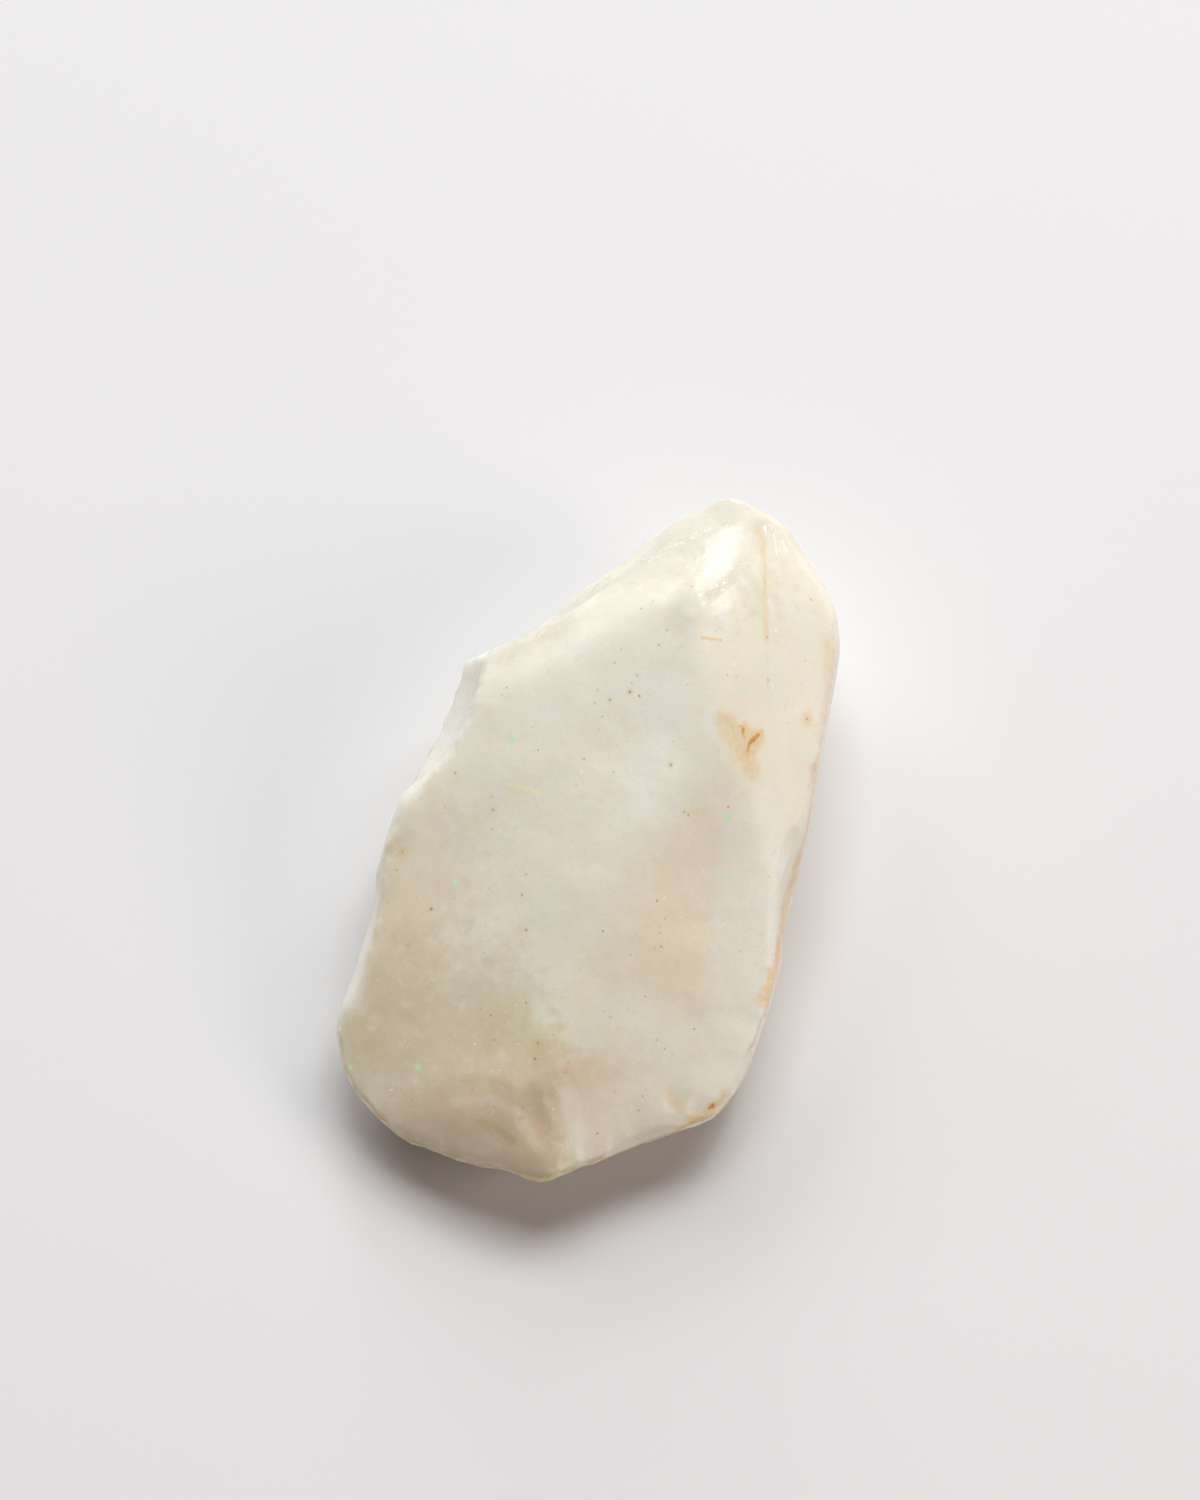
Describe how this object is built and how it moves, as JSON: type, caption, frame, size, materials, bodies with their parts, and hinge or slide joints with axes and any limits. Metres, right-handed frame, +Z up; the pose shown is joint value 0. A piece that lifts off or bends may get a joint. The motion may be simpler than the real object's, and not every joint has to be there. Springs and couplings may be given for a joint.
{
  "type": "rough opal specimen",
  "caption": "Rough lump of milky white opal with flake scars and faint colour flecks, lying on a flat underside, for display or as a loose stone.",
  "frame": {"origin": "centre of the bounding box in X and Y, at the height of the flat underside that the stone rests on", "axes": "+Y along the stone's length, towards the higher, narrower tip; +Z up, out of the resting facet"},
  "size_m": [0.0318, 0.0564, 0.0197],
  "materials": {
    "opal": "milky white common opal with a cream cast, waxy broken skin, rust stained pits and faint green and yellow flecks"
  },
  "bodies": {
    "root": {"rough_opal": "opal"}
  },
  "joints": []
}
